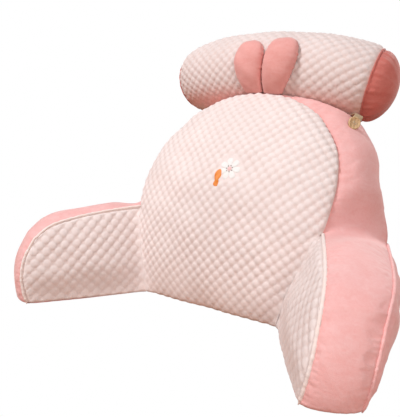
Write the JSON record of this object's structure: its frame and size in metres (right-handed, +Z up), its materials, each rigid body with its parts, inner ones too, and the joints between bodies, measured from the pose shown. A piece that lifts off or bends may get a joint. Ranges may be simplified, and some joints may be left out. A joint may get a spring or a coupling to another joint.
{
  "type": "reading pillow",
  "caption": "Stuffed reading pillow: a crowned, quilted backrest with outspread arms, a buttoned-on quilted neck roll and plush ears.",
  "frame": {"origin": "on the floor, under the middle of the pillow's box", "axes": "+X to the right as seen from the front, +Y to the rear, so that the pillow faces -Y, +Z up"},
  "size_m": [0.9274, 0.6716, 0.6596],
  "materials": {
    "quilted_plush": "soft bubble-quilted short plush",
    "pink_plush": "soft short plush",
    "deep_plush": "soft short plush, a shade deeper",
    "wood": "smooth turned wood",
    "webbing": "flat woven tape"
  },
  "bodies": {
    "root": {"back_front_panel": "quilted_plush", "back_gusset": "pink_plush", "back_rear_panel": "pink_plush", "arm_inner_panel_left": "quilted_plush", "arm_inner_panel_right": "quilted_plush", "arm_gusset_left": "pink_plush", "arm_gusset_right": "pink_plush", "arm_outer_panel_left": "pink_plush", "arm_outer_panel_right": "pink_plush", "roll_sleeve": "quilted_plush", "roll_cap_left": "deep_plush", "roll_cap_right": "deep_plush", "ear_left": "pink_plush", "ear_right": "pink_plush", "button_left": "wood", "button_right": "wood", "tab_left": "webbing", "tab_right": "webbing"}
  },
  "joints": []
}
